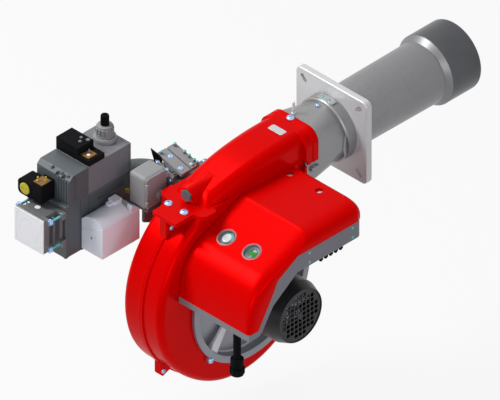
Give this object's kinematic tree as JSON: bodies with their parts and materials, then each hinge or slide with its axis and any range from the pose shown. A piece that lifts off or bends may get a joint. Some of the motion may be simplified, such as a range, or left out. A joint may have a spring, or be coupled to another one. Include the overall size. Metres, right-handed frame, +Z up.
{
  "type": "industrial gas burner",
  "caption": "Forced-draught gas burner with a fan casing, moulded head cover, flange and long blast tube, electrical panel, motor and a side gas train.",
  "frame": {"origin": "centre of the mounting flange's boiler-side face, on the axis of the blast tube", "axes": "+Y along the blast tube into the boiler, +X to the motor side, +Z up"},
  "size_m": [0.7923, 1.5, 0.8552],
  "materials": {
    "red_enamel": "gloss red enamel",
    "cast_grey": "as cast, lightly machined",
    "tube_steel": "plain steel",
    "sleeve_steel": "dark heat-resisting steel",
    "motor_grey": "cast, satin",
    "spider_light": "satin light grey",
    "valve_grey": "die cast, dark grey",
    "panel_grey": "matt grey",
    "black_plastic": "matt black",
    "white_plastic": "satin white",
    "servo_grey": "matt grey",
    "brass": "turned",
    "yellow_dial": "satin yellow",
    "green_lens": "clear-coated green lens",
    "lamp_white": "satin white",
    "ceramic": "glazed ceramic",
    "shaft_steel": "bright steel"
  },
  "bodies": {
    "burner_frame": {"actuator_bracket": "valve_grey", "actuator_nipple": "servo_grey", "adjuster_base": "motor_grey", "blast_tube": "tube_steel", "boiler_flange": "cast_grey", "butterfly_body": "cast_grey", "cast_head_body": "cast_grey", "coil_housing": "motor_grey", "conduit": "black_plastic", "conduit_gland": "black_plastic", "connector_block": "black_plastic", "connector_row": "black_plastic", "control_unit": "black_plastic", "fan_grille": "black_plastic", "gas_chamber": "cast_grey", "gas_elbow": "valve_grey", "gas_manifold": "cast_grey", "head_cover": "red_enamel", "ignition_transformer": "servo_grey", "inlet_flange": "motor_grey", "inlet_plate": "white_plastic", "inlet_ring": "cast_grey", "motor_body": "motor_grey", "motor_fan_cover": "black_plastic", "motor_spider": "spider_light", "panel_base": "panel_grey", "panel_cover": "red_enamel", "pressure_switch": "black_plastic", "reset_bezel": "lamp_white", "run_lamp_bezel": "lamp_white", "run_lamp_lens": "green_lens", "scroll_left_half": "red_enamel", "scroll_right_half": "red_enamel", "servo_actuator": "servo_grey", "sight_plug": "valve_grey", "terminal_box": "black_plastic", "test_point": "brass", "tube_end_sleeve": "sleeve_steel", "valve_body": "valve_grey", "valve_front_cover": "valve_grey", "valve_prover": "white_plastic"},
    "fan_rotor": {"motor_shaft": "shaft_steel", "impeller": "shaft_steel", "cooling_fan": "black_plastic"},
    "servo_shaft": {"cam_shaft": "shaft_steel", "gas_cam": "motor_grey", "air_cam": "motor_grey"},
    "gas_throttle": {"butterfly_disc": "shaft_steel"},
    "air_flap": {"air_damper": "shaft_steel"},
    "head_slide": {"gas_lance": "tube_steel", "diffuser_disc": "shaft_steel", "gas_nozzle": "shaft_steel", "electrode_clamp": "shaft_steel", "ignition_electrode": "ceramic", "flame_probe": "ceramic"},
    "reset_push": {"reset_button": "lamp_white"},
    "flow_knob": {"adjuster_knob": "motor_grey", "adjuster_cap": "black_plastic"},
    "pressure_dial": {"switch_dial": "yellow_dial"}
  },
  "joints": [
    {"name": "fan_spin", "type": "hinge", "parent": "burner_frame", "child": "fan_rotor", "pos_m": [0, -0.454, -0.338], "axis": [1, 0, 0], "continuous": true},
    {"name": "servo_turn", "type": "hinge", "parent": "burner_frame", "child": "servo_shaft", "pos_m": [-0.163, -0.559, 0.02], "axis": [0, -1, 0], "range_deg": [-22, 50]},
    {"name": "gas_throttle_turn", "type": "hinge", "parent": "burner_frame", "child": "gas_throttle", "pos_m": [-0.1803, -0.519, -0.058], "axis": [0, -1, 0], "range_deg": [-27.5, 62.5]},
    {"name": "air_flap_turn", "type": "hinge", "parent": "burner_frame", "child": "air_flap", "pos_m": [0, -0.312, -0.066], "axis": [1, 0, 0], "range_deg": [-27.5, 62.5]},
    {"name": "head_adjust", "type": "slide", "parent": "burner_frame", "child": "head_slide", "axis": [0, 1, 0], "range_m": [0, 0.03]},
    {"name": "reset_press", "type": "slide", "parent": "burner_frame", "child": "reset_push", "axis": [0, -0.3655, 0.9308], "range_m": [-0.004, 0], "stiffness_N_per_m": 300, "springref_m": 0.002},
    {"name": "flow_set", "type": "hinge", "parent": "burner_frame", "child": "flow_knob", "pos_m": [-0.318, -0.671, 0.1176], "axis": [0, 0, 1], "range_deg": [-150, 150]},
    {"name": "pressure_set", "type": "hinge", "parent": "burner_frame", "child": "pressure_dial", "pos_m": [-0.379, -0.9503, 0.0446], "axis": [0, -1, 0], "range_deg": [0, 300]}
  ],
  "couplings": [
    {"joint": "gas_throttle_turn", "follows": "servo_turn", "ratio": 1.25},
    {"joint": "air_flap_turn", "follows": "servo_turn", "ratio": 1.25}
  ]
}
